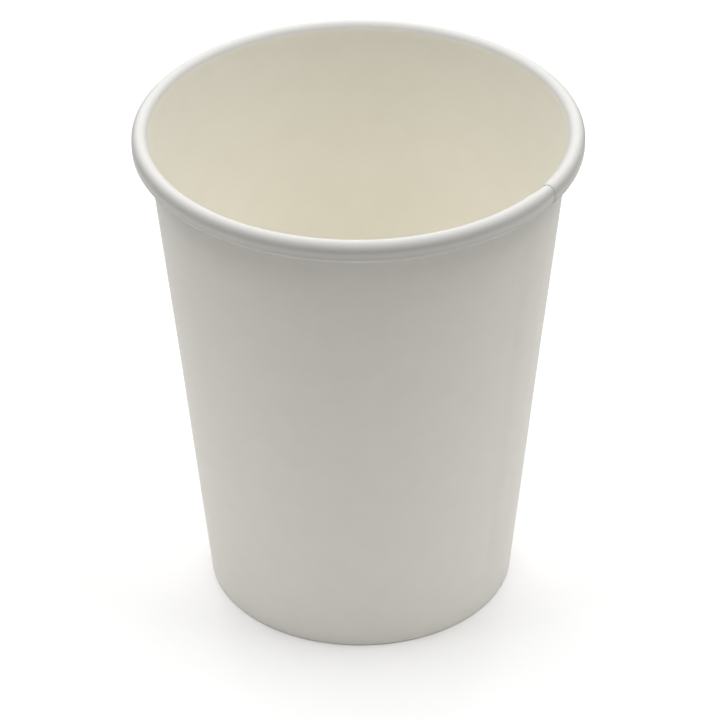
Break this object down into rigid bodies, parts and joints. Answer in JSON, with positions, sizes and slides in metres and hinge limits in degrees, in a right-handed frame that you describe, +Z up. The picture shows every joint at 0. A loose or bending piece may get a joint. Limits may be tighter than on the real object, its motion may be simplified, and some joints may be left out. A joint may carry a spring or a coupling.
{
  "type": "paper coffee cup",
  "caption": "Plain white single-wall paper cup for a hot drink: tapered wall with a rolled rim and side seam, recessed bottom disc held in a folded foot.",
  "frame": {"origin": "centre of the foot, on the surface that the cup stands on", "axes": "+Z up along the cup's axis; +X to the right and +Y away in the picture's view; the side seam's inner edge lies 32 degrees from +X towards -Y"},
  "size_m": [0.08, 0.08, 0.0935],
  "materials": {
    "wall_board": "white paperboard, matt outside with a faint fibre mottle, cream and slightly glossy inside under its thin coating",
    "bottom_board": "thinner paperboard, coated and slightly glossy on top, matt underneath"
  },
  "bodies": {
    "root": {"side_wall": "wall_board", "bottom": "bottom_board"}
  },
  "joints": []
}
